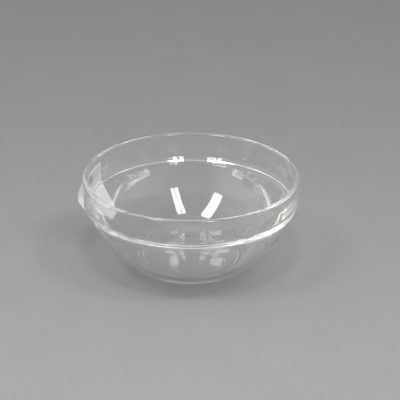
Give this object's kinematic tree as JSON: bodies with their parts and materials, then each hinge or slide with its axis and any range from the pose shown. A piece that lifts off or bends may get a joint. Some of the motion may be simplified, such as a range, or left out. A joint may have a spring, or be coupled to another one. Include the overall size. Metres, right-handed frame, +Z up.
{
  "type": "prep bowl",
  "caption": "Round clear pressed-glass prep bowl with a straight collar, a stacking bead and ledge, a hollow foot, and a blank paper label partly peeled off its side.",
  "frame": {"origin": "centre of the foot, on the plane the bowl stands on", "axes": "+Z up along the bowl's axis, -Y towards the viewer of the picture, -X towards the label"},
  "size_m": [0.1434, 0.14, 0.0615],
  "materials": {
    "clear_glass": "clear, smooth, very faintly green",
    "label_paper": "matt white paper, blank"
  },
  "bodies": {
    "root": {"bowl": "clear_glass", "label": "label_paper"}
  },
  "joints": []
}
